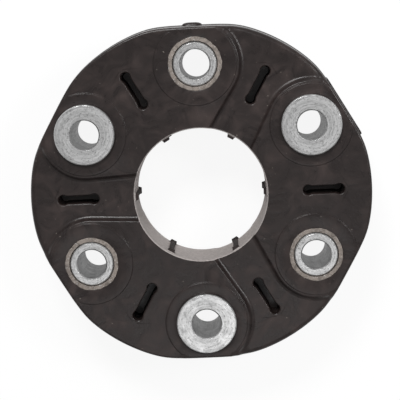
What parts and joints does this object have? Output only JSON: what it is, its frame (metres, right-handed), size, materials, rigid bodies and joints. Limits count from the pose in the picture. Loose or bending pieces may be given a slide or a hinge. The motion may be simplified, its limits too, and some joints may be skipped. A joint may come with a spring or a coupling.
{
  "type": "disc coupling",
  "caption": "Cord-reinforced rubber disc coupling with flanged steel bolt sleeves, joining two shafts and taking up misalignment and shock.",
  "frame": {"origin": "centre of the bolt circle, at half the thickness of the rubber", "axes": "+Z along the shaft axis towards the front face, +Y through sleeve 1; the disc lies on its back flanges"},
  "size_m": [0.1458, 0.1436, 0.0358],
  "materials": {
    "rubber": "moulded, satin",
    "zinc_steel": "turned and zinc plated",
    "collar_steel": "pressed, primed for bonding",
    "cord": "wound polyester cord set in rubber"
  },
  "bodies": {
    "root": {"rubber_body": "rubber", "sleeve_1": "zinc_steel", "end_collar_1": "collar_steel", "front_spacer_1": "collar_steel", "back_spacer_1": "collar_steel", "sleeve_2": "zinc_steel", "end_collar_2": "collar_steel", "front_spacer_2": "collar_steel", "back_spacer_2": "collar_steel", "sleeve_3": "zinc_steel", "end_collar_3": "collar_steel", "front_spacer_3": "collar_steel", "back_spacer_3": "collar_steel", "sleeve_4": "zinc_steel", "end_collar_4": "collar_steel", "front_spacer_4": "collar_steel", "back_spacer_4": "collar_steel", "sleeve_5": "zinc_steel", "end_collar_5": "collar_steel", "front_spacer_5": "collar_steel", "back_spacer_5": "collar_steel", "sleeve_6": "zinc_steel", "end_collar_6": "collar_steel", "front_spacer_6": "collar_steel", "back_spacer_6": "collar_steel", "front_drive_loop_1": "cord", "back_drive_loop_1": "cord", "coast_loop_1": "cord", "front_drive_loop_2": "cord", "back_drive_loop_2": "cord", "coast_loop_2": "cord", "front_drive_loop_3": "cord", "back_drive_loop_3": "cord", "coast_loop_3": "cord"}
  },
  "joints": []
}
